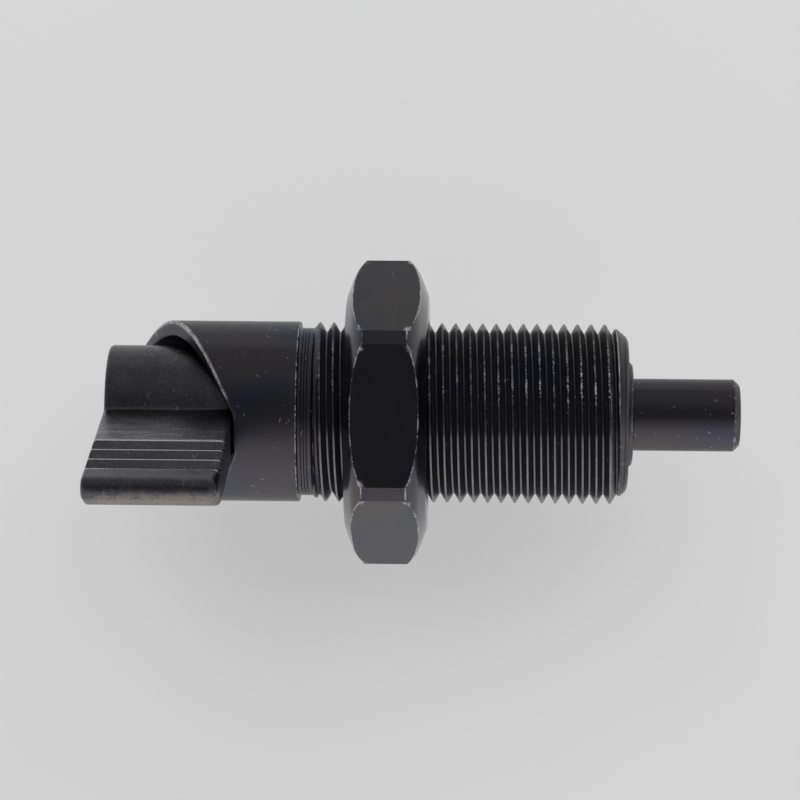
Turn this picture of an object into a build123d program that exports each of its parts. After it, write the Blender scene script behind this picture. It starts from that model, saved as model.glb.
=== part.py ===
from build123d import *
import os
from math import cos, radians, sin, tan

# Cam-action index plunger, in millimetres.
# The plunger's axis is X, and +X points to the tip of the pin.
# The origin is on the axis, in the shoulder where the collar ends and the neck begins.
# +Z is up: the plunger lies on one flat of its lock nut, and the lever's wing leans up and forward.
# An angle round the axis starts at +Y and grows towards +Z.

# Sleeve, from the collar's shoulder to the nose
collar_d = 20.0
collar_edge = 0.3
neck_d = 18.6
neck_length = 1.5
thread_d = 19.9
thread_pitch = 1.5
thread_crest = 0.19
thread_root = 0.15
thread_flank = 60.0
thread_start_chamfer = 0.45
sleeve_length = 36.2
nose_chamfer_length = 1.5
nose_chamfer_depth = 1.45
rim_bore_d = 16.6
rim_bore_below_floor = 0.15
web_thickness = 4.0

# Cam cut into the collar's free end
cam_floor = 6.85
seat_gap = 0.15
ride_gap = 0.95
half_turn = 180.0
return_start = 18.0
return_rise = 15.0
cam_stations = 48
cutter_overrun = 1.0

# Lever
lever_width = 14.2
hub_d = 14.4
wing_angle = 107.3
wing_top = 2.42
wing_root_bottom = 2.3
wing_heel_bottom = 1.5
wing_heel = 26.5
wing_reach = 29.65
tip_end_height = 0.4
tip_top_radius = 1.25
tip_end_radius = 1.3
tip_heel_radius = 2.5
crease_radius = 0.5
lever_front_edge = 0.45
lever_foot_edge = 0.5
first_ridge = 17.0
ridge_pitch = 3.0
ridge_groove_depth = 0.42
ridge_grooves = 3
hub_bore_depth = 11.2

# Index pin, its flange and its stem, one turned piece
pin_d = 8.0
pin_out = 11.8
pin_tip_chamfer = 0.65
retract_margin = 0.2
flange_thickness = 2.5
flange_edge = 0.3
stem_d = 6.0
stem_end_gap = 0.2
stem_chamfer = 0.4

# Guide bush pressed into the nose
bush_d = 11.6
bush_seat = 8.0
bush_shoulder = 0.45
bush_dome = 0.15
bush_edge = 0.4

# Spring, its washer and the pin that holds the lever
wire_d = 1.1
spring_d = 11.0
spring_turns = 10.0
washer_thickness = 0.7
cross_pin_d = 3.0
cross_pin_depth = 2.9
cross_pin_inset = 0.2
cross_pin_chamfer = 0.3

# Lock nut
nut_width = 30.0
nut_thickness = 9.0
nut_corner_d = 33.7
nut_face_d = 26.8
nut_chamfer_angle = 22.5
nut_corner_round = 1.2
nut_place = 5.15
nut_countersink = 0.6

# Clearances
running_gap = 0.05
axial_gap = 0.1
flange_gap = 0.3
location_gap = 0.02

# Places along the axis that follow from the sizes above
lever_foot = cam_floor + seat_gap
lever_end = lever_foot + lever_width
rim_bore_floor = cam_floor - rim_bore_below_floor
web_face = rim_bore_floor - web_thickness
bush_back = sleeve_length - bush_seat
bush_face = sleeve_length + bush_shoulder + bush_dome
flange_front = bush_back - flange_gap
flange_back = flange_front - flange_thickness
washer_front = flange_back - axial_gap
washer_back = washer_front - washer_thickness
spring_seat = washer_back - axial_gap
pin_tip = bush_face + pin_out
stem_end = lever_foot + hub_bore_depth - stem_end_gap
cross_pin_place = lever_foot + cross_pin_depth
lift = pin_out + retract_margin
crown = lever_foot + lift - seat_gap
flange_d = bush_d - 2 * running_gap


def cam_rise(turned):
    """Height of the cam over the lever's resting foot, at an angle turned from the wing.

    The working ramp climbs in step with the lever's linear lift and stays ride_gap below its foot.
    The seat under the foot and the crown limit it, and the steeper return ramp closes the far side.
    """
    working = lift * turned / half_turn - ride_gap
    returning = return_rise * (2 * half_turn - turned - return_start) / half_turn
    return max(-seat_gap, min(working, returning, lift - seat_gap))


def cam_line(radius):
    """Points of the cam round the axis at one radius; every radius has the same heights."""
    stations = [2 * half_turn * n / cam_stations for n in range(cam_stations)]
    return [
        Vector(
            -lever_foot - cam_rise(turned),
            radius * cos(radians(wing_angle + turned)),
            radius * sin(radians(wing_angle + turned)),
        )
        for turned in stations
    ]


# What is milled away beyond the cam: a ruled face round the axis, thickened past the collar's end.
with BuildPart() as cam_cutter:
    with BuildLine() as cam_inside:
        Spline(*cam_line(rim_bore_d / 2 - cutter_overrun), periodic=True)
    with BuildLine() as cam_outside:
        Spline(*cam_line(collar_d / 2 + cutter_overrun), periodic=True)
    cam_face = Face.make_surface_from_curves(cam_inside.edge(), cam_outside.edge())
    extrude(cam_face, amount=lift + cutter_overrun, dir=(-1, 0, 0))

# The thread's grooves fill the shank from its first full diameter to the middle of the nose's chamfer.
thread_from = neck_length + thread_start_chamfer
thread_to = sleeve_length - nose_chamfer_length / 2
thread_turns = int((thread_to - thread_from) / thread_pitch)
thread_depth = (thread_pitch - thread_crest - thread_root) / 2 * tan(radians(thread_flank))
first_groove = (thread_from + thread_to - (thread_turns - 1) * thread_pitch) / 2

# Sleeve: the turned outside, the thread's true section as rings, the bores from both ends, then the cam.
with BuildPart() as threaded_sleeve:
    with BuildSketch(Plane.XY) as sleeve_half:
        with BuildLine():
            Polyline(
                (-crown, 0),
                (-crown, collar_d / 2 - collar_edge),
                (-crown + collar_edge, collar_d / 2),
                (-collar_edge, collar_d / 2),
                (0, collar_d / 2 - collar_edge),
                (0, neck_d / 2),
                (neck_length, neck_d / 2),
                (neck_length + thread_start_chamfer, thread_d / 2),
                (sleeve_length - nose_chamfer_length, thread_d / 2),
                (sleeve_length, thread_d / 2 - nose_chamfer_depth),
                (sleeve_length, 0),
                close=True,
            )
        make_face()
        with Locations(*[(first_groove + n * thread_pitch, thread_d / 2) for n in range(thread_turns)]):
            Trapezoid(
                thread_pitch - thread_crest,
                thread_depth,
                thread_flank,
                rotation=half_turn,
                align=(Align.CENTER, Align.MIN),
                mode=Mode.SUBTRACT,
            )
    revolve(axis=Axis.X)
    with BuildSketch(Plane.YZ.offset(-rim_bore_floor)):
        Circle(rim_bore_d / 2)
    extrude(amount=-crown, mode=Mode.SUBTRACT)
    with BuildSketch(Plane.YZ.offset(-web_face)):
        Circle(bush_d / 2)
    extrude(amount=sleeve_length + web_face, mode=Mode.SUBTRACT)
    with BuildSketch(Plane.YZ.offset(-rim_bore_floor)):
        Circle(stem_d / 2 + running_gap)
    extrude(amount=web_thickness, mode=Mode.SUBTRACT)
    add(cam_cutter.part, mode=Mode.SUBTRACT)

# Lock nut: a hexagon with two flats facing up and down, its corners turned to a chamfer that rolls over.
nut_chamfer_length = (nut_corner_d - nut_face_d) / 2 * tan(radians(nut_chamfer_angle))
nut_bore_d = thread_d + 2 * running_gap
with BuildPart() as lock_nut:
    with BuildSketch(Plane.YZ.offset(nut_place)):
        RegularPolygon(nut_width / 2, side_count=6, major_radius=False)
    extrude(amount=nut_thickness)
    with BuildSketch(Plane.XY) as nut_half:
        with BuildLine():
            Polyline(
                (nut_place, nut_bore_d / 2 + nut_countersink),
                (nut_place, nut_face_d / 2),
                (nut_place + nut_chamfer_length, nut_corner_d / 2),
                (nut_place + nut_thickness - nut_chamfer_length, nut_corner_d / 2),
                (nut_place + nut_thickness, nut_face_d / 2),
                (nut_place + nut_thickness, nut_bore_d / 2 + nut_countersink),
                (nut_place + nut_thickness - nut_countersink, nut_bore_d / 2),
                (nut_place + nut_countersink, nut_bore_d / 2),
                close=True,
            )
        make_face()
        fillet(nut_half.vertices().group_by(Axis.Y)[-1], nut_corner_round)
    revolve(axis=Axis.X, mode=Mode.INTERSECT)

# Lever: hub and wing in one outline, rounded all over, with the thumb grooves cut across the wing.
# In this plane x runs out along the wing and y points to its ridged upper face.
wing_plane = Plane(
    origin=(-lever_foot, 0, 0),
    x_dir=(0, cos(radians(wing_angle)), sin(radians(wing_angle))),
    z_dir=(-1, 0, 0),
)
cross_pin_axis = Plane(origin=(-cross_pin_place, 0, 0), x_dir=(1, 0, 0), z_dir=wing_plane.y_dir)
with BuildPart() as cam_lever:
    with BuildSketch(wing_plane) as lever_outline:
        Circle(hub_d / 2)
        with BuildLine():
            Polyline(
                (0, wing_top),
                (wing_reach, wing_top),
                (wing_reach, tip_end_height),
                (wing_heel, -wing_heel_bottom),
                (0, -wing_root_bottom),
                close=True,
            )
        make_face()
        fillet(lever_outline.vertices().sort_by_distance((wing_reach, wing_top))[0], tip_top_radius)
        fillet(lever_outline.vertices().sort_by_distance((wing_reach, tip_end_height))[0], tip_end_radius)
        fillet(lever_outline.vertices().sort_by_distance((wing_heel, -wing_heel_bottom))[0], tip_heel_radius)
        fillet(lever_outline.vertices().sort_by_distance((hub_d / 2, wing_top))[0], crease_radius)
        fillet(lever_outline.vertices().sort_by_distance((hub_d / 2, -wing_root_bottom))[0], crease_radius)
    extrude(amount=lever_width)
    fillet(cam_lever.faces().sort_by(Axis.X)[0].edges(), lever_front_edge)
    fillet(cam_lever.faces().sort_by(Axis.X)[-1].edges(), lever_foot_edge)
    with BuildSketch(wing_plane):
        for groove in range(ridge_grooves):
            ridge = first_ridge + groove * ridge_pitch
            with BuildLine():
                Polyline(
                    (ridge, wing_top),
                    (ridge, wing_top + ridge_groove_depth),
                    (ridge + ridge_pitch, wing_top + ridge_groove_depth),
                    (ridge + ridge_pitch, wing_top),
                    (ridge + ridge_pitch / 2, wing_top - ridge_groove_depth),
                    close=True,
                )
            make_face()
    extrude(amount=lever_width, mode=Mode.SUBTRACT)
    with BuildSketch(wing_plane):
        Circle(stem_d / 2 + location_gap)
    extrude(amount=hub_bore_depth, mode=Mode.SUBTRACT)
    with BuildSketch(cross_pin_axis):
        Circle(cross_pin_d / 2 + location_gap)
    extrude(amount=hub_d, both=True, mode=Mode.SUBTRACT)

# Index pin: one turned piece with the flange that the spring pushes and the stem that the lever pulls.
with BuildPart() as index_pin:
    with BuildSketch(Plane.XY) as pin_half:
        with BuildLine():
            Polyline(
                (-stem_end, 0),
                (-stem_end, stem_d / 2 - stem_chamfer),
                (-stem_end + stem_chamfer, stem_d / 2),
                (flange_back, stem_d / 2),
                (flange_back, flange_d / 2 - flange_edge),
                (flange_back + flange_edge, flange_d / 2),
                (flange_front - flange_edge, flange_d / 2),
                (flange_front, flange_d / 2 - flange_edge),
                (flange_front, pin_d / 2),
                (pin_tip - pin_tip_chamfer, pin_d / 2),
                (pin_tip, pin_d / 2 - pin_tip_chamfer),
                (pin_tip, 0),
                close=True,
            )
        make_face()
    revolve(axis=Axis.X)
    with BuildSketch(cross_pin_axis):
        Circle(cross_pin_d / 2 + location_gap)
    extrude(amount=stem_d, both=True, mode=Mode.SUBTRACT)

# Guide bush: only its rounded, slightly domed end stands out of the nose.
with BuildPart() as guide_bush:
    with BuildSketch(Plane.XY) as bush_half:
        with BuildLine():
            Polyline(
                (bush_back, pin_d / 2 + running_gap),
                (bush_back, bush_d / 2),
                (sleeve_length + bush_shoulder, bush_d / 2),
                (bush_face, pin_d / 2 + running_gap),
                close=True,
            )
        make_face()
        fillet(bush_half.vertices().sort_by_distance((bush_face, bush_d / 2))[0], bush_edge)
    revolve(axis=Axis.X)

# Spring: a round wire helix, ground flat where it meets the web and the washer.
spring_start = -web_face + location_gap
spring_length = spring_seat - spring_start
with BuildPart() as compression_spring:
    with BuildLine() as spring_path:
        Helix(
            pitch=(spring_length - wire_d / 2) / spring_turns,
            height=spring_length - wire_d / 2,
            radius=(spring_d - wire_d) / 2,
            center=(spring_start + wire_d / 4, 0, 0),
            direction=(1, 0, 0),
        )
    with BuildSketch(Plane(origin=spring_path.line @ 0, z_dir=spring_path.line % 0)):
        Circle(wire_d / 2)
    sweep(path=spring_path.line, is_frenet=True)
    with BuildSketch(Plane.YZ.offset(spring_start)):
        Circle(spring_d)
    extrude(amount=spring_length, mode=Mode.INTERSECT)

# Washer between the spring, which stands still, and the flange, which turns with the lever.
with BuildPart() as spring_seat_washer:
    with BuildSketch(Plane.YZ.offset(washer_back)):
        Circle(spring_d / 2)
        Circle(stem_d / 2 + running_gap, mode=Mode.SUBTRACT)
    extrude(amount=washer_thickness)

# Cross pin: holds the lever's hub to the stem, square to the axis and to the wing.
with BuildPart() as lever_cross_pin:
    with BuildSketch(cross_pin_axis):
        Circle(cross_pin_d / 2)
    extrude(amount=hub_d / 2 - cross_pin_inset, both=True)
    chamfer(lever_cross_pin.edges().filter_by(GeomType.CIRCLE), cross_pin_chamfer)

threaded_sleeve.part.label = "threaded_sleeve"
lock_nut.part.label = "lock_nut"
cam_lever.part.label = "cam_lever"
index_pin.part.label = "index_pin"
guide_bush.part.label = "guide_bush"
compression_spring.part.label = "compression_spring"
spring_seat_washer.part.label = "spring_seat_washer"
lever_cross_pin.part.label = "lever_cross_pin"

os.makedirs("parts", exist_ok=True)
export_step(threaded_sleeve.part, "parts/threaded_sleeve.step")
export_step(lock_nut.part, "parts/lock_nut.step")
export_step(cam_lever.part, "parts/cam_lever.step")
export_step(index_pin.part, "parts/index_pin.step")
export_step(guide_bush.part, "parts/guide_bush.step")
export_step(compression_spring.part, "parts/compression_spring.step")
export_step(spring_seat_washer.part, "parts/spring_seat_washer.step")
export_step(lever_cross_pin.part, "parts/lever_cross_pin.step")
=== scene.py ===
"""Looks of a cam-action index plunger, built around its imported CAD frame.

Lengths in the functions are millimetres, and solid() turns them into metres.
The plunger's axis is X, +X points to the tip of the pin, and an angle round the axis
starts at +Y and grows towards +Z, which is up.
"""

from functools import reduce
from math import atan2, cos, hypot, pi, radians, sin, sqrt, tan

import bmesh
import bpy
import numpy as np
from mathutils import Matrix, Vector


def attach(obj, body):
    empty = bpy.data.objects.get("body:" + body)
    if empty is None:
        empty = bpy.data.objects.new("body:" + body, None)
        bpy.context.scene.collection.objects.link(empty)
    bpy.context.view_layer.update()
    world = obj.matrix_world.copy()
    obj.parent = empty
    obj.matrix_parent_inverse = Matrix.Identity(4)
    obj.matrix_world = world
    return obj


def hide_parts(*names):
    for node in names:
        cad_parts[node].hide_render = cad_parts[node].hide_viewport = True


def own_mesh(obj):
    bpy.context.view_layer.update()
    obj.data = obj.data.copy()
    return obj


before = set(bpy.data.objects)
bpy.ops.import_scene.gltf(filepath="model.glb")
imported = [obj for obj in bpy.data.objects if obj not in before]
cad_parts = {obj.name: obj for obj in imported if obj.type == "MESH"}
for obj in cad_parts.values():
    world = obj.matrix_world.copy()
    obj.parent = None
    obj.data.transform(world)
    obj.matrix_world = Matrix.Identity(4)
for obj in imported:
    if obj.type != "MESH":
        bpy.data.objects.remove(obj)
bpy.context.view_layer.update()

MM = 0.001
TAU = 2 * pi
SEAM_GAP = 2e-7  # metres; points closer than this are merged

# Sleeve, in millimetres. The neck's lines and the nose's chamfer are finer than in the part's source
COLLAR_R = 10.0
RIM_BORE_R = 8.3
RIM_BORE_FLOOR = -6.7
RIM_BORE_EDGE = 0.12
CAM_FLOOR = -6.85
CAM_CROWN = -18.85
RIDE_GAP = 0.95
RETURN_START = 18.0
RETURN_RISE = 15.0
RIM_ROWS_END = -1.5  # from here to the shoulder the collar's rows no longer follow the rim
SHOULDER_EDGE = 0.14
RIM_EDGE = 0.22
NECK_R = 9.3
NECK_LINES = (0.42, 0.74, 1.06)
NECK_LINE_DEPTH = 0.05
NECK_ROUND = 0.15
THREAD_START = 1.5
START_CHAMFER_SLOPE = 1.2
THREAD_R = 9.95
SLEEVE_END = 36.2
NOSE_CHAMFER_START = 34.4
NOSE_CHAMFER_DEPTH = 1.5
NOSE_EDGE = 0.2
WEB_FACE = -2.7
BORE_ROUND = 0.2
STEM_HOLE_R = 3.05
STEM_HOLE_CHAMFER = 0.2
BUSH_R = 5.8

# Thread
PITCH = 1.5
THREAD_DEPTH = 1.0
ROOT_R = THREAD_R - THREAD_DEPTH
FLANK_WIDTH = THREAD_DEPTH * tan(radians(30))
CREST_WIDTH = 0.19
THREAD_PHASE = 0.42
RUN_IN_LEAD = 0.05
RUN_IN_LENGTH = 1.1
TURN_STEPS = 144

# Lever
LEVER_FOOT = -7.0
LEVER_END = -21.2
HUB_R = 7.2
WING_ANGLE = radians(107.3)
WING_TOP = 2.42
WING_ROOT_BOTTOM = 2.3
WING_HEEL_BOTTOM = 1.5
WING_HEEL = 26.5
HEEL_CLEAR = 1.5
WING_REACH = 29.65
TIP_END_HEIGHT = 0.4
TIP_TOP_ROUND = 1.25
TIP_END_ROUND = 1.3
TIP_HEEL_ROUND = 2.5
CREASE_ROUND = 0.5
FRONT_ROUND = 0.45
FOOT_ROUND_TOP = 0.5
FOOT_ROUND_TIP = 1.2
FOOT_ROUND_UNDER = 0.12
TIP_BLEND_START = 25.0
TIP_BLEND_LENGTH = 3.0
FIRST_RIDGE = 17.0
RIDGE_PITCH = 3.0
GROOVE_DEPTH = 0.42
GROOVES = 3
LAST_RIDGE = FIRST_RIDGE + GROOVES * RIDGE_PITCH
STEM_BORE_R = 3.02
STEM_BORE_DEPTH = 11.2

# Nut. Its chamfer rolls down near the corners, where the part's source has a plain cone
NUT_PLACE = 5.15
NUT_THICKNESS = 9.0
NUT_FLAT = 15.0
NUT_CORNER_R = 16.85
NUT_FACE_R = 12.9
NUT_LAST_FACE_ROW = 12.8
NUT_FIRST_CONE_ROW = 12.98
NUT_BORE_R = 10.0
NUT_COUNTERSINK = 0.6
NUT_CHAMFER = radians(21)
NUT_ROLL_START = 14.9
NUT_ROLL = 5.0
EDGE_ROUND = 0.12

# Pin, bush, spring
PIN_R = 4.0
PIN_TIP = 48.6
PIN_TIP_CHAMFER = 0.65
CHAMFER_EDGE = 0.15
TIP_FACE_EDGE = 0.12
STEM_R = 3.0
STEM_END = -18.0
STEM_CHAMFER = 0.4
FLANGE_R = 5.75
FLANGE_ROUND = 0.3
FLANGE_BACK = 25.4
FLANGE_FRONT = 27.9
CROSS_PIN_X = -9.9
CROSS_PIN_R = 1.52
CROSS_BORE_HALF = 9.0
BUSH_BACK = 28.2
BUSH_BORE_R = 4.05
BUSH_SHOULDER = 36.77
BUSH_FACE = 36.8
BUSH_ROUND = 0.5
SPRING_START = -2.68
SPRING_END = 24.5
SPRING_R = 4.95
WIRE_R = 0.55
SPRING_TURNS = 10
END_TURN_GAP = 0.05
LIFT = 12.0

FAR_OFF = 9.0  # stored where a point has no part in a pattern


def solid(name, points, faces, body, material, stands_for, sharp=30.0):
    """One closed piece: points in millimetres and faces as index rows.
    Doubled points at seams and poles are merged, faces are turned outwards,
    and edges that bend by more than sharp degrees stay crisp."""
    mesh = bpy.data.meshes.new(name)
    mesh.from_pydata((np.asarray(points).reshape(-1, 3) * MM).tolist(), [], [tuple(f) for f in faces])
    work = bmesh.new()
    work.from_mesh(mesh)
    bmesh.ops.remove_doubles(work, verts=work.verts, dist=SEAM_GAP)
    bmesh.ops.dissolve_degenerate(work, edges=work.edges, dist=SEAM_GAP)
    bmesh.ops.recalc_face_normals(work, faces=work.faces)
    if work.calc_volume(signed=True) < 0:
        bmesh.ops.reverse_faces(work, faces=work.faces)
    work.to_mesh(mesh)
    work.free()
    mesh.shade_smooth()
    mesh.set_sharp_from_angle(angle=radians(sharp))
    mesh.materials.append(material)
    piece = bpy.data.objects.new(name, mesh)
    bpy.context.scene.collection.objects.link(piece)
    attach(piece, body)
    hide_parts(*stands_for)
    return piece


def quads(rows, columns, close_rows=False):
    """Index rows of the quads between neighbouring points of a grid, whose last column meets its first again,
    and with close_rows its last row too."""
    a, b = np.meshgrid(np.arange(rows if close_rows else rows - 1), np.arange(columns), indexing="ij")
    a2, b2 = (a + 1) % rows, (b + 1) % columns
    corners = [a * columns + b, a2 * columns + b, a2 * columns + b2, a * columns + b2]
    return np.stack([c.ravel() for c in corners], axis=1)


def round_the_axis(x, r, angle):
    """Points at place x and radius r, turned by angle: (x, r cos angle, r sin angle)."""
    x, r, angle = np.broadcast_arrays(x, r, angle)
    return np.stack([x, r * np.cos(angle), r * np.sin(angle)], axis=-1)


def rounded_path(corners, steps=4):
    """A path through corners (x, y, radius): each corner with a radius becomes an arc
    that touches both of its sides, radius * tan(half the turn) away from the corner."""
    path = []
    for k, (x, y, radius) in enumerate(corners):
        if radius == 0 or k in (0, len(corners) - 1):
            path.append((x, y))
            continue
        here = np.array([x, y])
        back = np.array(corners[k - 1][:2]) - here
        ahead = np.array(corners[k + 1][:2]) - here
        back, ahead = back / hypot(*back), ahead / hypot(*ahead)
        half = np.arccos(np.clip(back @ ahead, -1, 1)) / 2
        centre = here + (back + ahead) / hypot(*(back + ahead)) * radius / sin(half)
        start = here + back * radius / tan(half) - centre
        end = here + ahead * radius / tan(half) - centre
        first = atan2(start[1], start[0])
        turn = (atan2(end[1], end[0]) - first + pi) % TAU - pi
        for t in np.linspace(0, 1, steps + 1):
            path.append(tuple(centre + radius * np.array([cos(first + turn * t), sin(first + turn * t)])))
    return np.array(path)


def turned(name, corners, body, material, stands_for, closed=False):
    """A turned piece: the rounded path through corners (x, radius, round) carried once round the axis.
    A closed path ends in its first corner again."""
    segments = 128
    path = rounded_path(corners)
    if closed:
        path = path[:-1]
    angle = np.arange(segments) * TAU / segments
    points = round_the_axis(path[:, :1], path[:, 1:], angle[None, :])
    faces = quads(len(path), segments, close_rows=closed)
    return solid(name, points, faces, body, material, stands_for)


def smooth_step(t):
    """0 below 0, 1 above 1, and 3t^2 - 2t^3 between."""
    t = np.clip(t, 0, 1)
    return t * t * (3 - 2 * t)


def cam_line(angle):
    """Place of the collar's cam rim at an angle round the axis.
    Past the wing it climbs the working ramp in step with the lever, LIFT in a half turn and RIDE_GAP
    behind its foot, to the crown. It comes back down the steeper ramp that the camera sees, RETURN_RISE
    in a half turn, which ends RETURN_START degrees before the wing."""
    turned_from_wing = np.degrees(angle - WING_ANGLE) % 360
    working = LIFT * turned_from_wing / 180 - RIDE_GAP
    returning = RETURN_RISE * (360 - turned_from_wing - RETURN_START) / 180
    return np.clip(LEVER_FOOT - np.minimum(working, returning), CAM_CROWN, CAM_FLOOR)


def tooth(phase):
    """Depth of the thread's groove, 0 on the crest to 1 in the root, at a phase of 0 to 1 through one pitch:
    a flat crest centred on phase 0, straight 30 degree flanks and a flat root."""
    from_crest = np.abs((phase + 0.5) % 1 - 0.5) * PITCH
    return np.clip((from_crest - CREST_WIDTH / 2) / FLANK_WIDTH, 0, 1)


def run_in(x):
    """Share of its full depth that the groove has at x: it starts shallow by the neck."""
    return smooth_step((x - THREAD_START + RUN_IN_LEAD) / RUN_IN_LENGTH)


def shank_outside(x):
    """Radius of the shank before its groove: a start chamfer, the thread's crest and the nose's chamfer,
    whose last NOSE_EDGE drops more steeply, by its own length once more."""
    nose = THREAD_R - (x - NOSE_CHAMFER_START) * NOSE_CHAMFER_DEPTH / (SLEEVE_END - NOSE_CHAMFER_START)
    nose -= np.maximum(x - SLEEVE_END + NOSE_EDGE, 0)
    start = NECK_R + (x - THREAD_START) * START_CHAMFER_SLOPE
    return np.minimum(np.minimum(start, THREAD_R), nose)


def threaded_sleeve(material):
    """The sleeve as one closed skin: a grid that runs from the thread's end over the nose, through the bore,
    the web and the rim bore, over the cam rim and down the outside of the collar to the neck,
    and a thread strip whose columns follow the helix, so that crests and roots are true edges."""
    angle = np.arange(TURN_STEPS) * TAU / TURN_STEPS
    rim = cam_line(angle)
    inside = rounded_path([
        (SLEEVE_END, THREAD_R - NOSE_CHAMFER_DEPTH - NOSE_EDGE, 0),
        (SLEEVE_END, BUSH_R, 0),
        (WEB_FACE, BUSH_R, BORE_ROUND),
        (WEB_FACE, STEM_HOLE_R + STEM_HOLE_CHAMFER, 0),
        (WEB_FACE - STEM_HOLE_CHAMFER, STEM_HOLE_R, 0),
        (RIM_BORE_FLOOR, STEM_HOLE_R, 0),
        (RIM_BORE_FLOOR, RIM_BORE_R, 0),
    ])
    neck = [(x + side * NECK_LINE_DEPTH, NECK_R - NECK_LINE_DEPTH * (side == 0), 0)
            for x in NECK_LINES for side in (-1, 0, 1)]
    shoulder = [(RIM_ROWS_END, COLLAR_R, 0), (0, COLLAR_R, SHOULDER_EDGE), (0, NECK_R, NECK_ROUND)]
    outside = rounded_path(shoulder + neck + [(THREAD_START, NECK_R, 0)], 5)
    rows = [round_the_axis(x, r, angle) for x, r in inside]
    bore_top = rim + RIM_BORE_EDGE
    rows += [round_the_axis(RIM_BORE_FLOOR + (bore_top - RIM_BORE_FLOOR) * t, RIM_BORE_R, angle)
             for t in np.linspace(0, 1, 9)[1:]]
    rows.append(round_the_axis(rim, RIM_BORE_R + RIM_BORE_EDGE, angle))
    rows += [round_the_axis(rim + RIM_EDGE * (1 - cos(t)), COLLAR_R - RIM_EDGE * (1 - sin(t)), angle)
             for t in np.linspace(0, pi / 2, 6)]
    rows += [round_the_axis((rim + RIM_EDGE) * (1 - t) + RIM_ROWS_END * t, COLLAR_R, angle)
             for t in np.linspace(0, 1, 17)[1:-1]]
    rows += [round_the_axis(x, r, angle) for x, r in outside]
    body_points = np.concatenate([r.reshape(-1, 3) for r in rows])
    body_faces = quads(len(rows), TURN_STEPS)

    crest, flank = CREST_WIDTH / 2 / PITCH, FLANK_WIDTH / PITCH
    down = crest + flank * np.array([0, 0.12, 0.5, 0.9, 1])
    knots = np.concatenate([[-crest, 0], down, [0.5], 1 - down[:0:-1]])
    first_turn = np.floor(THREAD_START / PITCH) - 1
    steps = int(np.ceil((SLEEVE_END - THREAD_START) / PITCH) + 3) * TURN_STEPS
    step = np.arange(steps + TURN_STEPS)[:, None]
    x = (first_turn + THREAD_PHASE + knots[None, :] + step / TURN_STEPS) * PITCH
    x = np.clip(x, THREAD_START, SLEEVE_END)
    r = np.minimum(shank_outside(x), THREAD_R - THREAD_DEPTH * run_in(x) * tooth(knots)[None, :])
    thread_points = round_the_axis(x, r, step * TAU / TURN_STEPS).reshape(-1, 3)
    n = len(knots)
    a, k = np.meshgrid(np.arange(steps), np.arange(n), indexing="ij")
    across = np.where(k < n - 1, a * n + k + 1, (a + TURN_STEPS) * n)
    next_across = np.where(k < n - 1, (a + 1) * n + k + 1, (a + 1 + TURN_STEPS) * n)
    next_across = np.minimum(next_across, (steps + TURN_STEPS) * n - 1)
    thread_faces = np.stack([a * n + k, (a + 1) * n + k, next_across, across], axis=-1).reshape(-1, 4)
    points = np.concatenate([body_points, thread_points])
    faces = np.concatenate([body_faces, thread_faces + len(body_points)])
    return solid("threaded_sleeve_skin", points, faces, "sleeve", material,
                 ["threaded_sleeve"], sharp=24)


def hexagon(angle):
    """Radius of the nut's side at an angle: flat / cos(angle from the flat's middle),
    cut by the turned corner circle."""
    from_flat = (angle - pi / 2 + pi / 6) % (pi / 3) - pi / 6
    return np.minimum(NUT_FLAT / np.cos(from_flat), NUT_CORNER_R)


def chamfer_depth(r):
    """Depth of the nut's turned chamfer below its face at radius r: a cone from the face circle,
    (r - face radius) * tan(chamfer), that from NUT_ROLL_START on rolls down on an arc of radius NUT_ROLL."""
    centre = NUT_ROLL_START - NUT_ROLL * sin(NUT_CHAMFER)
    bottom = (NUT_ROLL_START - NUT_FACE_R) * tan(NUT_CHAMFER) + NUT_ROLL * cos(NUT_CHAMFER)
    arc = bottom - np.sqrt(np.maximum(NUT_ROLL ** 2 - (r - centre) ** 2, 0))
    return np.where(r < NUT_ROLL_START, (r - NUT_FACE_R) * tan(NUT_CHAMFER), arc)


def lock_nut(material):
    """The nut as one closed skin: rows of points from the bore over one face, down its chamfer
    to where it meets the hexagon, along the side and back over the other face.
    The chamfer's rows crowd towards the side, and three small rows ease the edge there."""
    crowding = 1.7
    corner = np.arccos(NUT_FLAT / NUT_CORNER_R)
    sector = np.concatenate([np.linspace(-corner, corner, 33), np.linspace(corner, pi / 3 - corner, 7)[1:-1]])
    angle = (np.arange(6)[:, None] * pi / 3 + pi / 2 + sector[None, :]).ravel()
    side = hexagon(angle)
    drop = chamfer_depth(side)
    half = [(NUT_COUNTERSINK, NUT_BORE_R), (0, NUT_BORE_R + NUT_COUNTERSINK), (0, NUT_LAST_FACE_ROW)]
    for t in 1 - np.linspace(1, 0, 15)[:-1] ** crowding:
        r = NUT_FIRST_CONE_ROW + (side - EDGE_ROUND - NUT_FIRST_CONE_ROW) * t
        half.append((chamfer_depth(r), r))
    half += [(drop - 0.02, side - 0.025), (drop + 0.03, side - 0.006), (drop + EDGE_ROUND, side)]
    front = [round_the_axis(NUT_PLACE + x, r, angle) for x, r in half]
    back = [round_the_axis(NUT_PLACE + NUT_THICKNESS - x, r, angle) for x, r in reversed(half)]
    first = drop + EDGE_ROUND
    middle = [round_the_axis(NUT_PLACE + first * (1 - t) + (NUT_THICKNESS - first) * t, side, angle)
              for t in np.linspace(0, 1, 9)[1:-1]]
    rows = front + middle + back
    points = np.concatenate([r.reshape(-1, 3) for r in rows])
    faces = quads(len(rows), len(angle), close_rows=True)
    return solid("lock_nut_skin", points, faces, "nut", material, ["lock_nut"], sharp=14)


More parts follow.
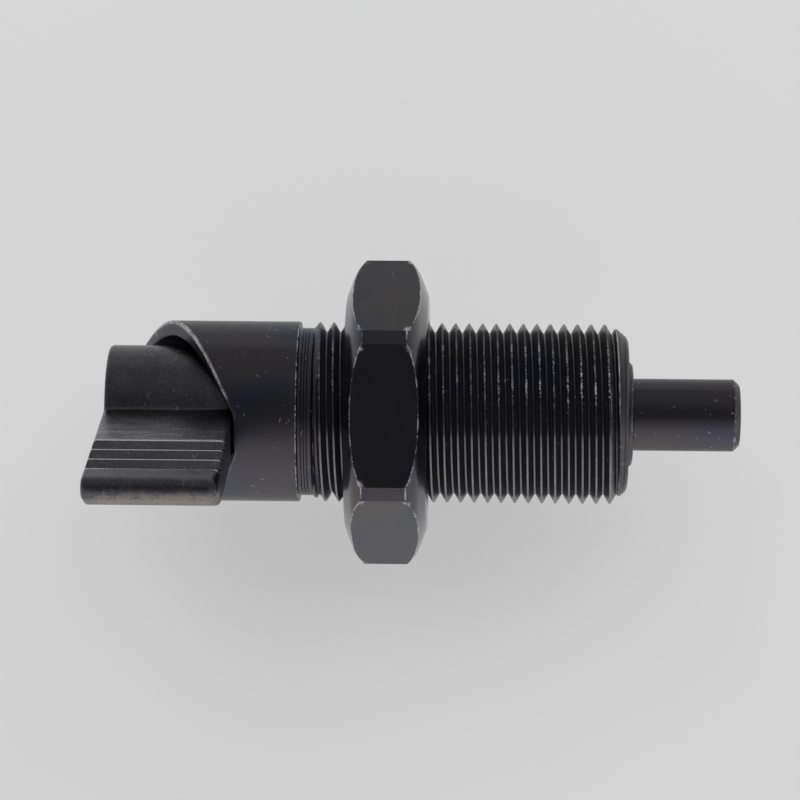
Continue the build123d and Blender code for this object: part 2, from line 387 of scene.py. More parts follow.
def arc_points(centre, radius, start, end, count, outward=1.0):
    """Points of an arc and their outward normals; outward is -1 where the material lies outside the arc."""
    t = np.linspace(start, end, count)
    normal = np.stack([np.cos(t), np.sin(t)], axis=1)
    return np.array(centre) + radius * normal, outward * normal


def lever_outline():
    """The lever seen along its axis, as points and outward normals in the wing's own (u, v), with u along it.
    It runs from the hub's back over its top, the crease, the ridged face, the tip, the underside and home.
    A crease of radius f between the hub R and a face at height h has its centre at
    (sqrt((R + f)^2 - (h + f)^2), h + f)."""
    hub_steps, crease_steps, groove_steps = 40, 7, 24
    f = CREASE_ROUND
    top_u = sqrt((HUB_R + f) ** 2 - (WING_TOP + f) ** 2)
    top_turn = atan2(WING_TOP + f, top_u)
    slope = atan2(WING_ROOT_BOTTOM - WING_HEEL_BOTTOM, WING_HEEL)
    low_h = WING_ROOT_BOTTOM * cos(slope)
    low_s = sqrt((HUB_R + f) ** 2 - (low_h + f) ** 2)
    low_turn = atan2(low_h + f, low_s)
    along = np.array([cos(slope), sin(slope)])
    below = np.array([sin(slope), -cos(slope)])
    low_centre = along * low_s + below * (low_h + f)
    parts = [arc_points((0, 0), HUB_R, pi, top_turn, hub_steps)]
    parts.append(arc_points((top_u, WING_TOP + f), f, pi + top_turn, 1.5 * pi, crease_steps, -1.0))
    u = np.concatenate([
        np.linspace(top_u, FIRST_RIDGE, 18)[1:],
        FIRST_RIDGE + np.arange(1, GROOVES * groove_steps + 1) * RIDGE_PITCH / groove_steps,
        np.linspace(LAST_RIDGE, WING_REACH - TIP_TOP_ROUND, 6)[1:-1],
    ])
    parts.append((np.stack([u, np.full_like(u, WING_TOP)], axis=1), np.tile([0.0, 1.0], (len(u), 1))))
    tip_centre = (WING_REACH - TIP_TOP_ROUND, WING_TOP - TIP_TOP_ROUND)
    parts.append(arc_points(tip_centre, TIP_TOP_ROUND, pi / 2, 0, 10))
    tip = rounded_path([
        (WING_REACH, WING_TOP - TIP_TOP_ROUND, 0),
        (WING_REACH, TIP_END_HEIGHT, TIP_END_ROUND),
        (WING_HEEL, -WING_HEEL_BOTTOM, TIP_HEEL_ROUND),
        (low_centre[0], -WING_ROOT_BOTTOM + tan(slope) * low_centre[0], 0),
    ], 9)[1:-1]
    ahead = np.gradient(tip, axis=0)
    ahead /= np.hypot(ahead[:, 0], ahead[:, 1])[:, None]
    parts.append((tip, np.stack([-ahead[:, 1], ahead[:, 0]], axis=1)))
    s = np.linspace(WING_HEEL - HEEL_CLEAR, low_s, 60)[1:]
    under = along * s[:, None] + below * low_h
    parts.append((under, np.tile(below, (len(s), 1))))
    parts.append(arc_points(low_centre, f, pi / 2 + slope, pi - low_turn + slope, crease_steps, -1.0))
    parts.append(arc_points((0, 0), HUB_R, -low_turn + slope, -pi, hub_steps))
    points = np.concatenate([p for p, _ in parts])
    normals = np.concatenate([n for _, n in parts])
    keep = np.hypot(*(points - np.roll(points, 1, axis=0)).T) > 1e-4
    return points[keep], normals[keep]


def ridge_line(u):
    """Height of the ridged face: straight V grooves between sharp crests a pitch apart,
    WING_TOP - GROOVE_DEPTH * (1 - |2t - 1|) at a share t of the way from one crest to the next."""
    through = (u - FIRST_RIDGE) / RIDGE_PITCH % 1
    groove = GROOVE_DEPTH * (1 - np.abs(2 * through - 1))
    inside = (u > FIRST_RIDGE) & (u < LAST_RIDGE)
    return WING_TOP - np.where(inside, groove, 0)


def foot_round(outline):
    """Radius of the foot's edge along the outline: nearly sharp under the wing and round the hub,
    eased along the ridged face and well rounded at the tip."""
    u, v = outline[:, 0], outline[:, 1]
    on_face = smooth_step((u - HUB_R) / 2) * smooth_step(v / 1.5)
    on_tip = smooth_step((u - TIP_BLEND_START) / TIP_BLEND_LENGTH)
    top = FOOT_ROUND_UNDER + (FOOT_ROUND_TOP - FOOT_ROUND_UNDER) * on_face
    return top + (FOOT_ROUND_TIP - top) * on_tip


def cam_lever():
    """The lever: its outline carried along the axis, with both ends rounded by quarter rounds.
    At a turn t of the round, the outline lies radius * (1 - sin t) further in and radius * (1 - cos t)
    from the end. Each end is closed by quads between facing points of the outline."""
    outline, normals = lever_outline()
    foot = foot_round(outline)[None, :]
    same = np.ones_like(foot)
    quarter = np.linspace(0, pi / 2, 9)[:, None]
    plain = np.linspace(LEVER_END + FRONT_ROUND, LEVER_FOOT - FOOT_ROUND_TIP, 12)[1:, None]
    x = np.concatenate([(LEVER_END + FRONT_ROUND * (1 - np.cos(quarter))) * same, plain * same,
                        LEVER_FOOT - foot * (1 - np.cos(quarter[::-1]))])
    inset = np.concatenate([FRONT_ROUND * (1 - np.sin(quarter)) * same, 0 * plain * same,
                            foot * (1 - np.sin(quarter[::-1]))])
    uv = outline[None] - normals[None] * inset[:, :, None]
    upper = normals[None, :, 1] > 0.5
    on_wing = uv[..., 0] > HUB_R + 0.2
    height = np.where(upper & on_wing, np.minimum(uv[..., 1], ridge_line(uv[..., 0])), uv[..., 1])
    points = wing_points(x, uv[..., 0], height)
    count = len(outline)
    faces = [tuple(f) for f in quads(len(x), count)]
    pair = np.arange(1, count // 2)
    for first in (0, (len(x) - 1) * count):
        faces += [(first + k, first + k + 1, first + count - k - 1, first + count - k) for k in pair
                  if k + 1 < count - k - 1]
        faces.append((first, first + 1, first + count - 1))
    return points, faces


def wing_points(x, u, v):
    """Points (x, u, v) of the wing's own frame brought into the part's, with u along the wing and v towards
    its ridged face: (x, u cos + v sin, u sin - v cos) of the wing's angle."""
    x, u, v = np.broadcast_arrays(x, u, v)
    y = u * cos(WING_ANGLE) + v * sin(WING_ANGLE)
    z = u * sin(WING_ANGLE) - v * cos(WING_ANGLE)
    return np.stack([x, y, z], axis=-1)


def bored(piece, holes):
    """Cuts round holes into a finished piece; each hole is (centre, direction, radius, length)."""
    steps = 48
    for n, (centre, direction, radius, length) in enumerate(holes):
        turn = np.arange(steps) * TAU / steps
        way = Vector(direction).normalized()
        side = way.orthogonal().normalized()
        other = way.cross(side)
        ring = np.outer(np.cos(turn), np.array(side)) + np.outer(np.sin(turn), np.array(other))
        ends = np.array([0.0, length])[:, None, None] * np.array(way)
        wall = (np.array(centre) + radius * ring[None] + ends).reshape(-1, 3) * MM
        mesh = bpy.data.meshes.new(f"drill_{n}")
        faces = quads(2, steps).tolist() + [list(range(steps)), list(range(steps, 2 * steps))]
        mesh.from_pydata(wall.tolist(), [], faces)
        work = bmesh.new()
        work.from_mesh(mesh)
        bmesh.ops.recalc_face_normals(work, faces=work.faces)
        work.to_mesh(mesh)
        work.free()
        drill = bpy.data.objects.new(f"drill_{n}", mesh)
        bpy.context.scene.collection.objects.link(drill)
        cut = piece.modifiers.new("bore", "BOOLEAN")
        cut.operation, cut.solver, cut.object = "DIFFERENCE", "EXACT", drill
        bpy.context.view_layer.update()
        made = bpy.data.meshes.new_from_object(piece.evaluated_get(bpy.context.evaluated_depsgraph_get()))
        piece.modifiers.clear()
        piece.data = made
        bpy.data.objects.remove(drill)
    piece.data.shade_smooth()
    piece.data.set_sharp_from_angle(angle=radians(24))


def compression_spring(material):
    """The spring as a tube along a helix: the end turns nearly touch, the ones between share the rest evenly,
    and the wire's section is clipped flat at both ends, as a ground spring's is."""
    around, along = 20, SPRING_TURNS * 72
    t = np.linspace(0, SPRING_TURNS, along + 1)
    length = SPRING_END - SPRING_START - WIRE_R
    end_turn = 2 * WIRE_R + END_TURN_GAP
    open_turn = (length - 2 * end_turn) / (SPRING_TURNS - 2)
    x = SPRING_START + WIRE_R / 2 + np.interp(
        t, [0, 1, SPRING_TURNS - 1, SPRING_TURNS], [0, end_turn, length - end_turn, length])
    angle = TAU * t
    slope = open_turn / (TAU * SPRING_R)
    section = np.arange(around) * TAU / around
    out, over = np.cos(section)[None, :] * WIRE_R, np.sin(section)[None, :] * WIRE_R
    r = SPRING_R + out
    lean = slope * over
    points = np.stack([
        np.clip(x[:, None] + over * sqrt(1 - slope ** 2), SPRING_START, SPRING_END),
        r * np.cos(angle)[:, None] + lean * np.sin(angle)[:, None],
        r * np.sin(angle)[:, None] - lean * np.cos(angle)[:, None],
    ], axis=-1)
    faces = [tuple(f) for f in quads(along + 1, around)]
    faces += [tuple(range(around)), tuple(range(along * around, (along + 1) * around))]
    spring = solid("compression_spring_wire", points, faces, "sleeve", material,
                   ["compression_spring"])
    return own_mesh(spring)


def mark(piece, **layers):
    """Stores values worked out from the piece's points, in millimetres, for its material to read."""
    mesh = piece.data
    at = np.empty(len(mesh.vertices) * 3)
    mesh.vertices.foreach_get("co", at)
    at = at.reshape(-1, 3) / MM
    for name, values in layers.items():
        mesh.attributes.new(name, "FLOAT", "POINT").data.foreach_set("value", values(at))


def past_the_rim(at):
    """How far a point of the sleeve lies past the cam rim, along the axis."""
    return at[:, 0] - cam_line(np.arctan2(at[:, 2], at[:, 1]))


def past_the_chamfer(at):
    """How far a point of the nut's outside lies past the end of the chamfer, along the axis;
    FAR_OFF on the faces and in the bore."""
    depth = np.minimum(at[:, 0] - NUT_PLACE, NUT_PLACE + NUT_THICKNESS - at[:, 0])
    drop = chamfer_depth(hexagon(np.arctan2(at[:, 2], at[:, 1])))
    return np.where(np.hypot(at[:, 1], at[:, 2]) < NUT_FACE_R - 0.2, FAR_OFF, depth - drop)


def over_the_nose(at):
    """How much higher than the shank's outside the groove's flank would stand at a point of the nose's
    chamfer: 0 along the edge where the thread's groove cuts the chamfer, and FAR_OFF away from the nose."""
    x, r = at[:, 0], np.hypot(at[:, 1], at[:, 2])
    phase = x / PITCH - THREAD_PHASE - np.arctan2(at[:, 2], at[:, 1]) / TAU
    groove = THREAD_R - THREAD_DEPTH * tooth(phase)
    on_nose = (x > NOSE_CHAMFER_START - 0.3) & (r > ROOT_R - 0.9)
    return np.where(on_nose, groove - shank_outside(x), FAR_OFF)


def from_the_corner(at):
    """How far a point of the nut lies from the nearest of its six corners, round the axis."""
    angle = np.arctan2(at[:, 2], at[:, 1]) - pi / 2
    return np.abs((angle + pi / 3) % (pi / 3) - pi / 6) * np.hypot(at[:, 1], at[:, 2])


class Socket:
    """One output of a shader node. Arithmetic written with it adds the Math nodes that do it."""

    def __init__(self, finish, output):
        self.finish, self.output = finish, output

    def math(self, operation, *values):
        """A Math node; its values are numbers or sockets."""
        return self.finish.add("Math", {"operation": operation}, dict(enumerate(values)))

    def also(self, name):
        """Another output of the same node."""
        return Socket(self.finish, self.output.node.outputs[name])

    def __add__(self, other):
        return self.math("ADD", self, other)

    def __radd__(self, other):
        return self.math("ADD", other, self)

    def __sub__(self, other):
        return self.math("SUBTRACT", self, other)

    def __rsub__(self, other):
        return self.math("SUBTRACT", other, self)

    def __mul__(self, other):
        return self.math("MULTIPLY", self, other)

    def __truediv__(self, other):
        return self.math("DIVIDE", self, other)

    def __pow__(self, other):
        return self.math("POWER", self, other)

    def __abs__(self):
        return self.math("ABSOLUTE", self)

    def most(self, other):
        return self.math("MAXIMUM", self, other)

    def rise(self, low, high):
        """0 below low, 1 above high, smooth between; falls instead where low is the larger."""
        flip = low > high
        sockets = {"Value": self, "From Min": min(low, high), "From Max": max(low, high),
                   "To Min": float(flip), "To Max": float(not flip)}
        return self.finish.add("MapRange", {"interpolation_type": "SMOOTHSTEP"}, sockets)

    def near(self, place, off, full):
        """1 where it is within full of a place, and 0 further from it than off."""
        return abs(self - place).rise(off, full)

    def band(self, start, full, still_full, end):
        """1 from full to still_full, falling to 0 at start and at end."""
        return self.rise(start, full) * self.rise(end, still_full)


class Finish:
    """A node tree being written, with one way to add any node to it."""

    def __init__(self, tree):
        self.tree = tree
        tree.nodes.clear()

    def add(self, kind, settings=None, sockets=None, out=0):
        """Adds a node: its settings first, where stops are the places and greys of a ramp,
        then a value or a link for each socket, by name or number."""
        node = self.tree.nodes.new("ShaderNode" + kind)
        for key, value in (settings or {}).items():
            if key == "stops":
                ramp = node.color_ramp.elements
                while len(ramp) < len(value):
                    ramp.new(0.5)
                for stop, (place, level) in zip(ramp, value):
                    stop.position, stop.color = place, (level, level, level, 1)
            else:
                setattr(node, key, value)
        for key, value in (sockets or {}).items():
            if isinstance(value, Socket):
                self.tree.links.new(value.output, node.inputs[key])
            else:
                node.inputs[key].default_value = value
        return Socket(self, node.outputs[out]) if node.outputs else None

    def blend(self, a, b, share):
        """Colour a, passing to colour b with the share."""
        a, b = [(*c, 1) if isinstance(c, tuple) else c for c in (a, b)]
        return self.add("Mix", {"data_type": "RGBA"}, {0: share, 6: a, 7: b}, out=2)


# Fine scratches in four ways, and small chips: turn, stretch, size of a cell, share marked, half width
HANDLING_MARKS = (
    (0.5, 9, 0.9, 0.30, 0.045),
    (1.9, 12, 1.1, 0.26, 0.04),
    (2.6, 7, 1.2, 0.26, 0.045),
    (1.1, 4, 0.8, 0.24, 0.045),
    (0.9, 1.4, 1.1, 0.16, 0.065),
)


class Skin(Finish):
    """The finish of one piece. Its patterns are laid on Object coordinates in millimetres."""

    def __init__(self, name):
        self.material = bpy.data.materials.new(name)
        self.material.use_nodes = True
        super().__init__(self.material.node_tree)
        place = self.add("TexCoord", out="Object")
        self.at = self.add("VectorMath", {"operation": "SCALE"}, {0: place, "Scale": 1 / MM})
        self.x = self.add("SeparateXYZ", sockets={0: self.at})
        self.y, self.z = self.x.also("Y"), self.x.also("Z")
        self.r = (self.y * self.y + self.z * self.z) ** 0.5

    def layer(self, name):
        """A value that mark() stored on the piece."""
        return self.add("Attribute", {"attribute_name": name}, out="Fac")

    def noise(self, per_mm, detail=3.0, rough=0.55, at=None):
        """Cloudy noise of 0 to 1 round 0.5, on the piece's own coordinates or on others."""
        return self.add("TexNoise", sockets={
            "Vector": at or self.at, "Scale": per_mm, "Detail": detail, "Roughness": rough})

    def turning_lines(self, per_mm):
        """Rings that a turning tool leaves: noise along the axis and out from it, and nothing round it."""
        rings = self.add("CombineXYZ", sockets={0: self.x, 1: self.r})
        return self.noise(per_mm, 2.0, 0.6, rings)

    def unrolled(self, radius):
        """The skin rolled out flat: along the axis, and round it from the top at the given radius."""
        return self.add("CombineXYZ", sockets={0: self.x, 1: self.y.math("ARCTAN2", self.y, self.z) * radius})

    def strokes(self, flat, turn, stretch, size, share, half_width):
        """Short fine strokes: flat cells drawn out along one way, of which a share, picked by the
        cell's colour, is marked where it is nearer to the cell's middle than half_width."""
        way = self.add("Mapping", sockets={"Vector": flat, "Rotation": (0, 0, turn)})
        way = self.add("Mapping", sockets={"Vector": way, "Scale": (1 / stretch, 1, 1)})
        cell = self.add("TexVoronoi", {"voronoi_dimensions": "2D"}, {"Vector": way, "Scale": 1 / size})
        picked = self.add("SeparateColor", sockets={0: cell.also("Color")}).rise(share + 0.01, share)
        return cell.rise(half_width / size, 0.3 * half_width / size) * picked

    def handling_marks(self, flat):
        """All kinds of handling marks together, as one share."""
        return reduce(Socket.most, [self.strokes(flat, *kind) for kind in HANDLING_MARKS])

    def done(self, colour, rough, metal, height, depth, edge_tint=1.0):
        """Joins the values to the shader; height is a share of depth, in millimetres.
        An edge tint below 1 dims what the metal mirrors at a glancing angle."""
        bump = self.add("Bump", sockets={"Height": height, "Distance": depth * MM})
        shader = self.add("BsdfPrincipled", sockets={
            "Base Color": colour, "Roughness": rough, "Metallic": metal, "Normal": bump,
            "Specular Tint": (edge_tint, edge_tint, edge_tint, 1)})
        self.add("OutputMaterial", sockets={"Surface": shader})
        return self.material


# Colours, linear
OXIDE = (0.088, 0.086, 0.099)
OXIDE_WARM = (0.095, 0.089, 0.093)
OXIDE_BLUE = (0.070, 0.076, 0.118)
OXIDE_SHADED = (0.03, 0.029, 0.034)
CAST_PALE = (0.115, 0.111, 0.120)
CAST_DARK = (0.088, 0.087, 0.101)
CAST_SHADED = (0.035, 0.034, 0.038)
BROWN_STAIN = (0.30, 0.255, 0.19)
BARE_STEEL = (0.62, 0.62, 0.63)
STAINED_SHARE = 0.78  # how bright a stain on bright steel stays
BLACK_METALLIC = 0.98


def black_oxide(skin, wear, flat, rough=0.28, turned_depth=0.0, lines=9.0, shade=None, tone=1.0, marked=0.7,
                bluer=0.0, edge_tint=0.72, dull=0.0):
    """Satin black oxide, dark and faintly blue in clouds, with turning lines of a depth and a number per mm.
    wear is the share worn bare, and flat is the rolled-out skin that the handling marks lie on, marked as
    strongly as marked says. tone scales the colours, bluer moves the clouds towards blue, shade darkens and
    dull takes shine away, each where it is given."""
    cloud = skin.noise(0.13, 4.0) + bluer
    warm, plain, blue = [tuple(tone * c for c in colour) for colour in (OXIDE_WARM, OXIDE, OXIDE_BLUE)]
    colour = skin.blend(warm, plain, cloud.rise(0.36, 0.52))
    colour = skin.blend(colour, blue, cloud.rise(0.48, 0.64) * 0.8)
    if shade is not None:
        colour = skin.blend(colour, OXIDE_SHADED, shade)
    smudge = skin.noise(0.8, 5.0, 0.65)
    marks = skin.handling_marks(flat) * smudge.rise(0.42, 0.56) * marked
    worn = wear.most(marks)
    colour = skin.blend(colour, BARE_STEEL, worn)
    roughness = rough + (smudge - 0.5) * 0.14 + worn * 0.2
    rings = skin.turning_lines(lines)
    return skin.done(colour, roughness, BLACK_METALLIC - worn * 0.4 - dull, rings, turned_depth, edge_tint)


def sleeve_finish():
    """Turned and blackened, worn on the cam rim, the shoulder's edge, the thread's crests and a little in its
    roots, and the edge where the thread runs out into the nose.
    The crests and roots on the -Y side are lightened further as a painted highlight, and a thin ring of
    painted shade darkens the nose."""
    skin = Skin("turned_black_oxide")
    patch = skin.noise(0.9, 5.0, 0.7)
    fine = skin.noise(4.0, 3.0, 0.6)

    past_rim = skin.layer("past_rim") + (fine - 0.5) * 0.3
    on_collar = skin.r.rise(COLLAR_R - 0.5, COLLAR_R - 0.25)
    upper_most = skin.y.rise(1.0, 2.4) * 0.9 + 0.1
    rim_edge = past_rim.rise(0.45, 0.15) * on_collar * (patch * 0.6 + fine * 0.5).rise(0.40, 0.60)
    rim_edge = rim_edge * upper_most * 0.9
    shoulder = skin.x.near(-0.06, 0.12, 0.03) * skin.r.rise(COLLAR_R - 0.22, COLLAR_R - 0.1)
    shoulder = shoulder * (patch + fine * 0.5).rise(0.66, 0.84) * 0.8

    on_thread = skin.x.band(THREAD_START + 0.4, THREAD_START + 0.8,
                            NOSE_CHAMFER_START + 0.2, NOSE_CHAMFER_START + 0.5)
    crest = skin.r.rise(THREAD_R - 0.07, THREAD_R - 0.01) * on_thread
    flanks = skin.r.band(ROOT_R + 0.03, ROOT_R + 0.15, THREAD_R - 0.35, THREAD_R - 0.1) * on_thread
    root = skin.r.band(ROOT_R - 0.15, ROOT_R - 0.05, ROOT_R + 0.03, ROOT_R + 0.09) * on_thread
    handled = skin.y.band(0.5, 2.0, 7.0, 8.5) * skin.x.rise(8.0, 32.0).most(0.45) * 0.7 + 0.1
    rubbed = (patch * 0.7 + fine * 0.6).rise(0.58, 0.8) * handled
    # Painted highlight: crests and roots on the -Y side are taken towards bare steel, standing in for the
    # pale near side they mirror; the 0.02 everywhere is slight real wear
    below = 0.02 + skin.y.rise(-1.6, -2.6) * 0.2

    nose_edge = abs(skin.layer("over_nose") + (fine - 0.5) * 0.2).rise(0.26, 0.1)
    nose_edge = nose_edge * (0.3 + patch.rise(0.36, 0.56) * 0.7)
    nose_edge = nose_edge * (skin.y.rise(-1.5, 1.5) * 0.75 + 0.25)
    # Painted shade: a thin dark ring round the nose's chamfer, standing in for the shadow of a groove that
    # the skin does not have
    nose_groove_shade = skin.x.near(SLEEVE_END - 0.45, 0.09, 0.03) * skin.r.rise(8.3, 8.6)

    worn = rim_edge.most(shoulder).most(crest * (rubbed + below)).most(nose_edge).most(root * below)
    rough = 0.28 - on_thread * 0.07 + flanks * 0.12
    cloud_x, cloud_y, half_length, half_width = -4.3, 2.4, 4.5, 2.6
    from_cloud = (abs(skin.x - cloud_x) / half_length).most(abs(skin.y - cloud_y) / half_width)
    blue_cloud = from_cloud.rise(1.3, 0.2) * skin.z.rise(0.0, 3.0) * 0.2 - 0.05
    return black_oxide(skin, worn, skin.unrolled(COLLAR_R), rough, 0.004,
                       shade=nose_groove_shade * 0.9, bluer=blue_cloud, dull=flanks * 0.1)


def nut_finish():
    """Blackened and glossier, worn thinly along the chamfer's lower edge and knocked bare at the corners."""
    skin = Skin("worn_black_nut")
    patch = skin.noise(0.55, 5.0, 0.7)
    fine = skin.noise(3.0, 4.0, 0.65)
    past = skin.layer("past_chamfer")
    edge = abs(past + (fine - 0.5) * 0.14).rise(0.12, 0.03)
    edge = edge * (patch + fine * 0.5).rise(0.64, 0.9) * 0.85
    knocks = abs(skin.layer("from_corner") + (fine - 0.5) * 0.6 - 1.2).rise(0.5, 0.1)
    spots = knocks * past.near(0.1, 0.5, 0.1) * patch.rise(0.46, 0.6) * 0.8
    flat = skin.add("CombineXYZ", sockets={0: skin.x, 1: skin.y + skin.z * 0.45})
    return black_oxide(skin, edge.most(spots), flat, 0.2,
                       tone=0.86, marked=0.12, bluer=-0.05, edge_tint=0.95)


def lever_finish():
    """A blackened casting with a fine grain: ridges worn bare, the face behind them rubbed, the rub growing
    from the crease towards the ridges as a painted highlight, painted shade in the grooves and on the foot's
    end, and the wing's end face stained brown.
    u runs along the wing and v towards its ridged face."""
    skin = Skin("cast_black_lever")
    u = skin.y * cos(WING_ANGLE) + skin.z * sin(WING_ANGLE)
    v = skin.y * sin(WING_ANGLE) - skin.z * cos(WING_ANGLE)
    grain = skin.noise(2.6, 5.0, 0.62)
    pores = skin.noise(7.0, 3.0, 0.6)
    patch = skin.noise(0.5, 4.0, 0.65)
    streaks = skin.noise(1.0, 5.0, 0.7, skin.add("CombineXYZ", sockets={0: skin.x * 0.3, 1: u * 2.5, 2: v}))

    turn = (u - FIRST_RIDGE) / RIDGE_PITCH + 0.5
    from_crest = abs(turn.math("FRACT", turn) - 0.5) * RIDGE_PITCH
    on_ridges = u.band(FIRST_RIDGE - 0.4, FIRST_RIDGE - 0.3, LAST_RIDGE + 0.3, LAST_RIDGE + 0.4)
    on_ridges = on_ridges * v.rise(1.9, 2.1)
    crest = (from_crest + (grain - 0.5) * 0.1).rise(0.18, 0.06) * on_ridges * (0.75 + patch * 0.5)
    # Painted shade: the grooves between the ridges and the wing's last part before the foot are darkened
    # towards CAST_SHADED, where shade falls beside the collar
    grooves = u.band(FIRST_RIDGE, FIRST_RIDGE + 0.2, LAST_RIDGE - 0.2, LAST_RIDGE)
    grooves = grooves * v.rise(1.7, 1.9) * 0.45
    foot = skin.x.rise(LEVER_FOOT - 0.9, LEVER_FOOT - 0.3) * u.rise(7.0, 9.0) * 0.6
    # Partly wear, partly painted highlight: the streaked rub is real wear, and its share rising from the
    # crease towards the ridges lightens the shade next to the hub
    face = u.band(6.5, 15.0, FIRST_RIDGE, FIRST_RIDGE + 0.2) * v.rise(1.9, 2.2)
    rubbed = face * (0.13 + streaks.rise(0.40, 0.68) * 0.3)
    mottled = (grain * 0.6 + pores * 0.4).rise(0.50, 0.64) * 0.09
    flat = skin.add("CombineXYZ", sockets={0: skin.x, 1: skin.y * 0.6 + skin.z * 0.8})
    specks = skin.strokes(flat, 0.9, 1.3, 1.1, 0.3, 0.06) * 0.35
    worn = crest.most(rubbed).most(mottled).most(skin.handling_marks(flat) * 0.35).most(specks)
    end_face = v.rise(1.3, 0.4) * u.rise(25.0, 27.5)
    brown = end_face * (grain * 0.55 + patch * 0.55).rise(0.42, 0.66) * skin.x.rise(-21.0, -18.5) * 0.85

    colour = skin.blend(CAST_PALE, CAST_DARK, skin.noise(0.3, 5.0, 0.7).rise(0.38, 0.62))
    colour = skin.blend(colour, CAST_SHADED, grooves.most(foot))
    colour = skin.blend(colour, BARE_STEEL, worn)
    colour = skin.blend(colour, BROWN_STAIN, brown)
    rough = 0.28 + (grain - 0.5) * 0.3 + brown * 0.2
    metal = BLACK_METALLIC - worn * 0.15 - brown * 0.6
    return skin.done(colour, rough, metal, grain * 0.7 + pores * 0.3, depth=0.05, edge_tint=0.8)


def pin_finish():
    """Ground and blackened, a little worn at the tip's chamfer."""
    skin = Skin("ground_black_pin")
    fine = skin.noise(2.2, 4.0, 0.65)
    tip = skin.x.near(PIN_TIP - PIN_TIP_CHAMFER, 0.2, 0.05) * fine.rise(0.46, 0.64) * 0.4
    return black_oxide(skin, tip, skin.unrolled(PIN_R), 0.25, 0.003, 14.0)


def bush_finish():
    """Turned and blackened, a little worn at the ring's outer edge."""
    skin = Skin("turned_black_bush")
    fine = skin.noise(2.2, 4.0, 0.65)
    rim = skin.r.near(BUSH_R - 0.15, 0.2, 0.05) * skin.x.rise(SLEEVE_END + 0.1, SLEEVE_END + 0.3)
    return black_oxide(skin, rim * fine.rise(0.5, 0.7) * 0.3, skin.unrolled(BUSH_R), 0.28, 0.004)


def bright_steel(name, colour, rough, per_mm, depth):
    """Plain bright steel with fine drawn or turned lines and a little staining."""
    skin = Skin(name)
    stain = skin.noise(0.7, 4.0, 0.6)
    shade = skin.blend(colour, tuple(STAINED_SHARE * c for c in colour), stain.rise(0.4, 0.7))
    return skin.done(shade, rough + (stain - 0.5) * 0.15, 1.0, skin.turning_lines(per_mm), depth)


sleeve = threaded_sleeve(sleeve_finish())
mark(sleeve, past_rim=past_the_rim, over_nose=over_the_nose)
nut = lock_nut(nut_finish())
mark(nut, past_chamfer=past_the_chamfer, from_corner=from_the_corner)
points, faces = cam_lever()
lever = solid("cam_lever_skin", points, faces, "lever_and_pin", lever_finish(),
              ["cam_lever"], sharp=24)
across = np.array([0, sin(WING_ANGLE), -cos(WING_ANGLE)])
bored(lever, [
    ((LEVER_FOOT + 1, 0, 0), (-1, 0, 0), STEM_BORE_R, STEM_BORE_DEPTH + 1),
    (np.array([CROSS_PIN_X, 0, 0]) - CROSS_BORE_HALF * across, across, CROSS_PIN_R, 2 * CROSS_BORE_HALF),
])
turned("index_pin_skin", [
    (STEM_END, 0, 0), (STEM_END, STEM_R - STEM_CHAMFER, 0), (STEM_END + STEM_CHAMFER, STEM_R, 0),
    (FLANGE_BACK, STEM_R, 0), (FLANGE_BACK, FLANGE_R, FLANGE_ROUND), (FLANGE_FRONT, FLANGE_R, FLANGE_ROUND),
    (FLANGE_FRONT, PIN_R, 0), (PIN_TIP - PIN_TIP_CHAMFER, PIN_R, CHAMFER_EDGE),
    (PIN_TIP, PIN_R - PIN_TIP_CHAMFER, TIP_FACE_EDGE), (PIN_TIP, 0, 0),
], "lever_and_pin", pin_finish(), ["index_pin"])
turned("guide_bush_skin", [
    (BUSH_BACK, BUSH_BORE_R, 0), (BUSH_BACK, BUSH_R, 0), (BUSH_SHOULDER, BUSH_R, BUSH_ROUND),
    (BUSH_FACE, BUSH_BORE_R, 0), (BUSH_BACK, BUSH_BORE_R, 0),
], "sleeve", bush_finish(), ["guide_bush"], closed=True)
compression_spring(bright_steel("oiled_spring_wire", (0.32, 0.32, 0.33), 0.34, 6.0, 0.004))

# The two plain pieces keep their CAD solids, with their seams joined for smooth light
washer_finish = bright_steel("bright_washer", (0.45, 0.45, 0.46), 0.36, 9.0, 0.004)
cross_pin_finish = bright_steel("bright_cross_pin", (0.40, 0.40, 0.41), 0.3, 12.0, 0.003)
for node, slot, finish in (
    ("spring_seat_washer", "washer_steel", washer_finish),
    ("lever_cross_pin", "cross_pin_steel", cross_pin_finish),
):
    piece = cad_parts[node]
    piece.data.materials.clear()
    piece.data.materials.append(finish)
    join = piece.modifiers.new("joined_seams", "WELD")
    join.merge_threshold = 2e-6

# Floor, light and camera
FLOOR_COLOUR = (0.745, 0.747, 0.738)
FLOOR_GLOW = 0.51
FLOOR_MIRRORED = 0.75
NEAR_GLOW, NEAR_FROM, NEAR_TO = 0.3, -28, -55  # what the mirrored floor gains, and where in Y it sets in
FAR_GLOW, FAR_FROM, FAR_TO = -0.45, 28, 75
FLOOR_DROP = 28.5  # the wing hangs down 27.7 when the lever is turned right round


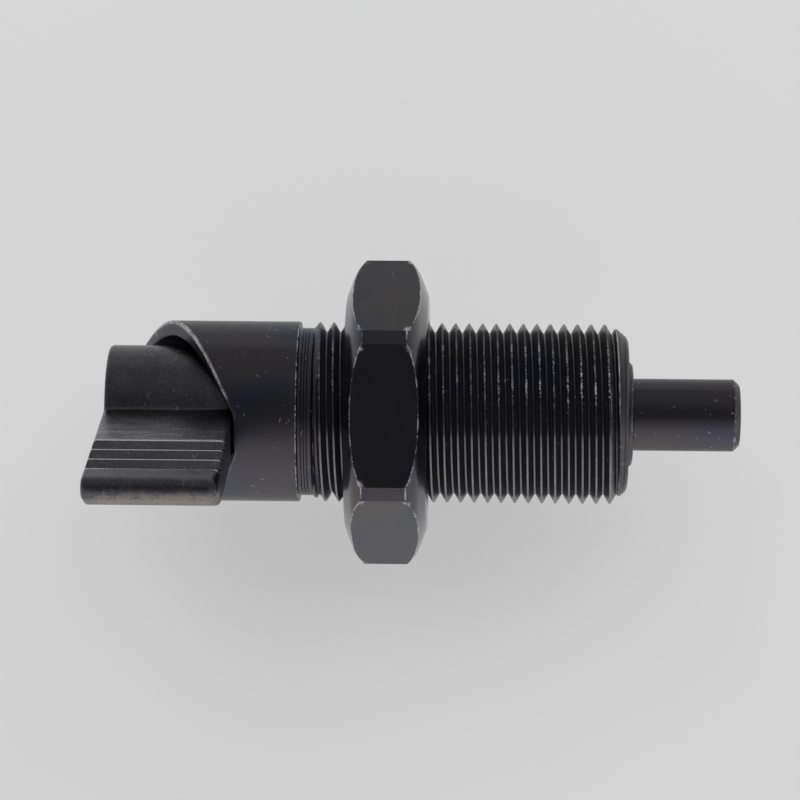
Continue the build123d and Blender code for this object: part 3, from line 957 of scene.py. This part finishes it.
def pale_floor():
    """A plain pale floor. Half of what the camera sees of it is its own colour at full light, which keeps the
    shadow as soft as on a lit table. Shiny pieces mirror it a little brighter on the near side and dimmer on
    the far side."""
    finish = Skin("pale_floor")
    path = finish.add("LightPath", out="Is Camera Ray")
    mirrored = path.also("Is Glossy Ray")
    seen = path.most(path.also("Is Transmission Ray")) * FLOOR_GLOW
    board = finish.add("BsdfPrincipled", sockets={
        "Base Color": (*FLOOR_COLOUR, 1), "Roughness": 0.8, "Specular IOR Level": 0.2})
    change = finish.y.rise(NEAR_FROM, NEAR_TO) * NEAR_GLOW + finish.y.rise(FAR_FROM, FAR_TO) * FAR_GLOW
    level = 1 + mirrored * change
    glow = finish.add("Emission", sockets={"Color": (*FLOOR_COLOUR, 1), "Strength": level})
    both = finish.add("MixShader", sockets={0: seen.most(mirrored * FLOOR_MIRRORED), 1: board, 2: glow})
    finish.add("OutputMaterial", sockets={"Surface": both})
    return finish.material


bpy.ops.mesh.primitive_plane_add(size=4, location=(0, 0, -FLOOR_DROP * MM))
floor = bpy.context.object
floor.name = "floor"
floor.data.materials.append(pale_floor())


def soft_lamp(name, place, target, width, height, power):
    """A soft rectangular lamp at a place in metres, turned to a target."""
    lamp = bpy.data.lights.new(name, "AREA")
    lamp.shape, lamp.size, lamp.size_y, lamp.energy = "RECTANGLE", width, height, power
    thing = bpy.data.objects.new(name, lamp)
    bpy.context.scene.collection.objects.link(thing)
    thing.location = place
    thing.rotation_mode = "QUATERNION"
    thing.rotation_quaternion = (Vector(target) - Vector(place)).to_track_quat("-Z", "Y")
    return thing


lamp = soft_lamp("main_lamp", place=(0.05, 0.42, 0.75), target=(0, 0, 0), width=0.9, height=0.7, power=5.4)
lamp.visible_glossy = False

# A studio that is dark overhead, dim all the way up on the far side and pale low on the near side:
# its brightness against the height of the view, 0 level to 1 straight up
NEAR_SIDE = [(0, 0.92), (0.28, 0.79), (0.47, 0.72), (0.64, 0.62),
             (0.78, 0.5), (0.88, 0.34), (0.95, 0.19), (1, 0.1)]
FAR_SIDE = [(0, 0.26), (0.4, 0.25), (0.7, 0.23), (0.85, 0.16), (0.95, 0.12), (1, 0.1)]
SKY_TINT = (0.98, 0.97, 1.07, 1)

world = bpy.data.worlds.new("studio")
bpy.context.scene.world = world
world.use_nodes = True
studio = Finish(world.node_tree)
way = studio.add("SeparateXYZ", sockets={0: studio.add("TexCoord", out="Generated")})
near, far = [studio.add("ValToRGB", {"stops": side}, {0: way.also("Z")}) for side in (NEAR_SIDE, FAR_SIDE)]
grey = studio.blend(far, near, way.also("Y").rise(0.02, -0.3))
sky = studio.add("Mix", {"data_type": "RGBA", "blend_type": "MULTIPLY"},
                 {0: 1.0, 6: grey, 7: SKY_TINT}, out=2)
background = studio.add("Background", sockets={"Color": sky, "Strength": 1.0})
studio.add("OutputWorld", sockets={"Surface": background})

camera_data = bpy.data.cameras.new("camera")
camera = bpy.data.objects.new("camera", camera_data)
bpy.context.scene.collection.objects.link(camera)
bpy.context.scene.camera = camera
camera_data.sensor_width = 36.0
camera_data.lens = 153.68
camera_data.clip_start, camera_data.clip_end = 0.05, 10.0
camera.location = (0.02053, 0.01044, 0.37929)
camera.rotation_euler = (radians(-1.3554), radians(1.4484), radians(0.507))
bpy.context.scene.view_settings.view_transform = "Standard"
